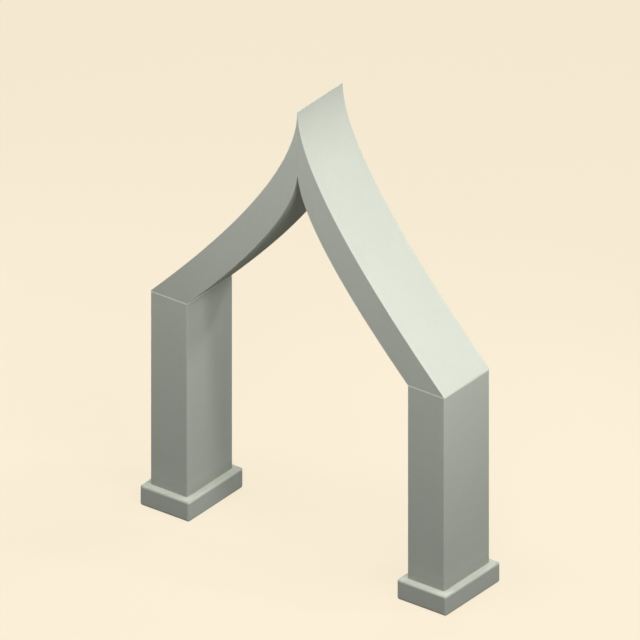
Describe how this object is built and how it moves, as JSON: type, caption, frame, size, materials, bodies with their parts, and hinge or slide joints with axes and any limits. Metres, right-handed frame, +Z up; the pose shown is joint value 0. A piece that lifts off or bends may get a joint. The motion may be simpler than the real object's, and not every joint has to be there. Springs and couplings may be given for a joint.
{
  "type": "pointed arch portal",
  "caption": "Free-standing stone portal: plain oblong piers on low plinths carry concave half ribs that sweep up and meet in a sharp pointed crown.",
  "frame": {"origin": "on the floor under the crown, midway between the two piers and between the front and back faces", "axes": "+X across the opening, to the right as seen from the front; +Y through the opening, from front to back; +Z up"},
  "size_m": [3.336, 0.794, 4.454],
  "materials": {
    "stone": "matte",
    "mortar": "matte"
  },
  "bodies": {
    "root": {"left_plinth": "stone", "right_plinth": "stone", "left_plinth_bed": "mortar", "right_plinth_bed": "mortar", "left_pier": "stone", "right_pier": "stone", "left_springing_bed": "mortar", "right_springing_bed": "mortar", "left_rib": "stone", "right_rib": "stone", "crown_joint": "mortar"}
  },
  "joints": []
}
